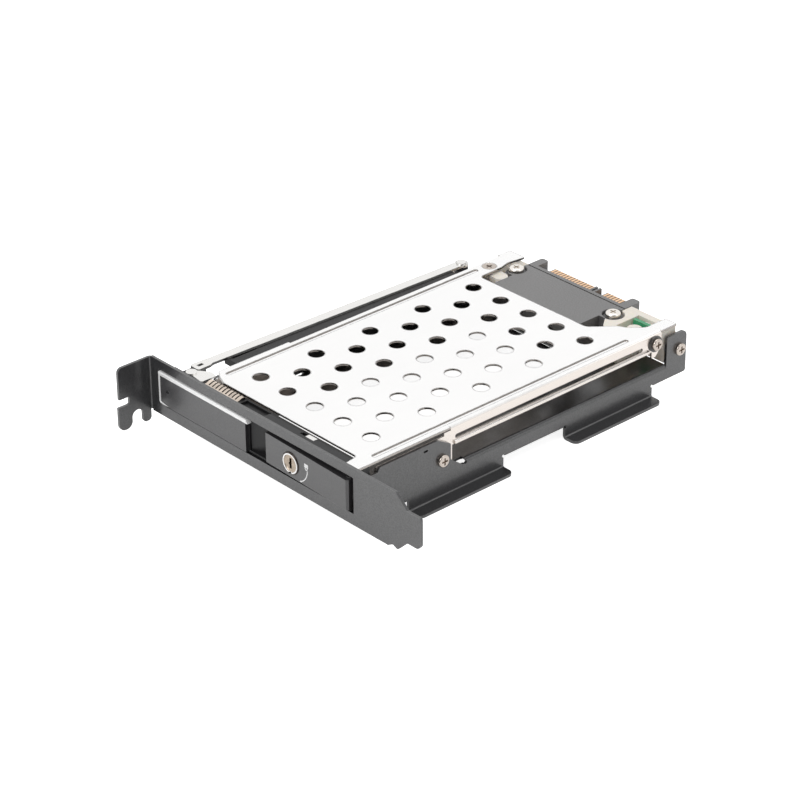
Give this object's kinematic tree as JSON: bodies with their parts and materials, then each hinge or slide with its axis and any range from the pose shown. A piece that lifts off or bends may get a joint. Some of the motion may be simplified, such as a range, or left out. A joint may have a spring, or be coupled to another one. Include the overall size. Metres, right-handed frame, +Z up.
{
  "type": "expansion slot hard drive rack",
  "caption": "Expansion slot rack for a 2.5 inch drive: slot bracket with a hinged, locking door, perforated cover over the bay, footed side brackets, ejector and rear drive connector.",
  "frame": {"origin": "middle of the outline seen from above, at the height of the undersides of the four feet", "axes": "+X along the slot bracket from screw tab to tongue, +Y from the door back to the connector, +Z up"},
  "size_m": [0.12, 0.148, 0.0222],
  "materials": {
    "black_coat": "satin black powder coat, fine grain",
    "cover_steel": "bright, nearly polished stainless sheet",
    "bright_steel": "bright zinc-plated steel",
    "black_moulding": "fine matt moulding",
    "finger_bronze": "bright spring bronze",
    "dark_aluminium": "dark satin anodised",
    "bright_trim": "polished edge strip",
    "lens": "smoked clear plastic",
    "spring_steel": "grey spring steel",
    "lever_black": "satin black",
    "lock_chrome": "bright chrome",
    "lock_brass": "worn brass",
    "ivory_nylon": "translucent ivory nylon",
    "screw_nickel": "bright nickel plate",
    "connector_black": "satin black glass-filled plastic",
    "gilt": "gold-plated contacts",
    "dark_steel": "blackened steel",
    "board_green": "green solder mask",
    "led_white": "white light housing"
  },
  "bodies": {
    "rack": {"slot_bracket": "black_coat", "right_side_bracket": "black_coat", "left_side_bracket": "black_coat", "top_cover": "cover_steel", "rear_bridge": "black_coat", "front_housing": "black_moulding", "keeper_plate": "bright_steel", "grounding_fingers": "finger_bronze", "hinge_plate": "bright_steel", "hinge_pin": "bright_steel", "rod_guide": "black_moulding", "lever_screw": "screw_nickel", "connector": "connector_black", "power_contacts": "gilt", "data_contacts": "gilt", "connector_screws": "screw_nickel", "connector_washers": "dark_steel", "connector_carrier": "ivory_nylon", "indicator_pcb": "board_green", "indicator_led": "led_white", "side_screws": "screw_nickel", "cage_screw": "screw_nickel", "cage_washer": "dark_steel"},
    "door": {"door": "black_moulding", "door_plate": "dark_aluminium", "door_trim": "bright_trim", "status_lens": "lens", "detent_spring": "spring_steel", "lever_pin": "bright_steel"},
    "lever": {"lever": "lever_black", "lock_barrel": "lock_chrome"},
    "lock": {"lock_core": "lock_brass", "lock_cam": "spring_steel", "lock_nut": "screw_nickel"},
    "eject_rod": {"eject_rod": "bright_steel", "rod_bush": "black_moulding", "rod_rivet": "bright_steel"},
    "eject_lever": {"eject_lever": "ivory_nylon"}
  },
  "joints": [
    {"name": "door_hinge", "type": "hinge", "parent": "rack", "child": "door", "pos_m": [-0.04361, -0.05805, 0.01285], "axis": [0, 0, -1], "range_deg": [0, 90]},
    {"name": "lever_pull", "type": "hinge", "parent": "door", "child": "lever", "pos_m": [0.02989, -0.06055, 0.01285], "axis": [0, 0, 1], "range_deg": [0, 35]},
    {"name": "lock_turn", "type": "hinge", "parent": "lever", "child": "lock", "pos_m": [0.00589, -0.05475, 0.01285], "axis": [0, 1, 0], "range_deg": [0, 90]},
    {"name": "rod_push", "type": "slide", "parent": "rack", "child": "eject_rod", "axis": [0, 1, 0], "range_m": [0, 0.00545]},
    {"name": "lever_eject", "type": "hinge", "parent": "rack", "child": "eject_lever", "pos_m": [-0.03481, 0.05515, 0.018], "axis": [0, 0, -1], "range_deg": [0, 35]}
  ],
  "couplings": [
    {"joint": "rod_push", "follows": "door_hinge", "m_per_rad": 0.00345},
    {"joint": "lever_eject", "follows": "door_hinge", "ratio": 0.385}
  ]
}
